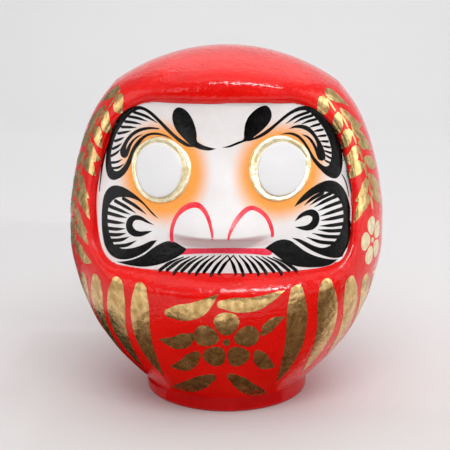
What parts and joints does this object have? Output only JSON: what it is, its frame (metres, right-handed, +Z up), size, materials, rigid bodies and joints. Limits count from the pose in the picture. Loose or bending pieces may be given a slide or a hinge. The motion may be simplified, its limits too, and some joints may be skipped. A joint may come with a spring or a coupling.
{
  "type": "daruma doll",
  "caption": "Round papier-mache daruma doll with a sunken face, domed brow, chin ledge and a weighted ring foot.",
  "frame": {"origin": "middle of the foot ring's underside, at the centre of the doll's footprint", "axes": "+Z up through the crown, -Y out of the face, +X to the viewer's right"},
  "size_m": [0.2146, 0.2013, 0.24],
  "materials": {
    "red_lacquer": "gloss red lacquer over papier-mache",
    "foot_lacquer": "satin red lacquer over pressed board",
    "white_ground": "satin white shell-lime ground",
    "gold_paint": "metallic gold paint",
    "black_paint": "gloss black brush paint",
    "pink_paint": "satin crimson brush paint",
    "dried_clay": "raw dried clay",
    "paperboard": "grey-brown pressed board",
    "plain_paper": "uncoated paper"
  },
  "bodies": {
    "root": {"front_shell": "red_lacquer", "back_shell": "red_lacquer", "seam_strip_left": "plain_paper", "seam_strip_right": "plain_paper", "seam_strip_crown": "plain_paper", "foot_ring": "foot_lacquer", "clay_weight": "dried_clay", "base_disc": "paperboard", "hole_seal": "plain_paper"}
  },
  "joints": []
}
